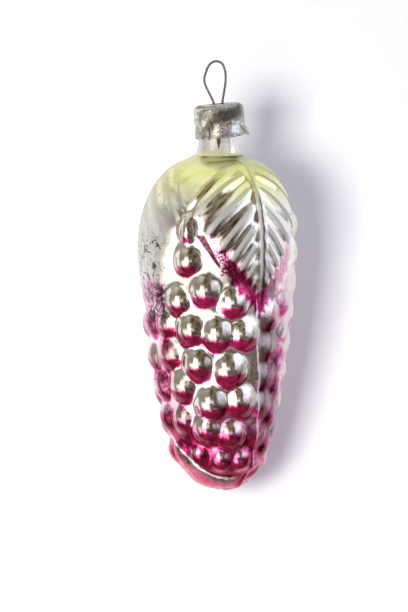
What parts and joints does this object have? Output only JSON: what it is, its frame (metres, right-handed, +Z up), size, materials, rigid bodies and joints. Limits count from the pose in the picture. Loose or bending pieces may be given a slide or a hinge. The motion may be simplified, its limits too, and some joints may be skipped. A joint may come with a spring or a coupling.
{
  "type": "glass tree ornament",
  "caption": "Mould-blown silvered glass pine cone ornament with fir sprigs and round knobs, a tinplate cap and a spring-wire hanging loop.",
  "frame": {"origin": "inner top of the wire loop, where a hook touches it", "axes": "+Z up along the axis of the cone, -Y is the front with the fir sprig on its right, +X to the right seen from the front"},
  "size_m": [0.0417, 0.0411, 0.1124],
  "materials": {
    "lacquered_glass": "silvered inside, magenta lacquer fading to silver and yellow-green at the shoulder",
    "cap_tin": "aged tinplate, dull and grainy with rust specks",
    "wire_steel": "dark oxidised spring wire"
  },
  "bodies": {
    "hanger": {"hanger_wire": "wire_steel"},
    "cap": {"cap": "cap_tin"},
    "glass": {"glass_body": "lacquered_glass"}
  },
  "joints": [
    {"name": "hanger_swivel", "type": "hinge", "parent": "hanger", "child": "cap", "pos_m": [0, 0, -0.0108], "axis": [0, 0, 1], "continuous": true},
    {"name": "cap_pull_off", "type": "slide", "parent": "cap", "child": "glass", "axis": [0, 0, -1], "range_m": [0, 0.02]}
  ]
}
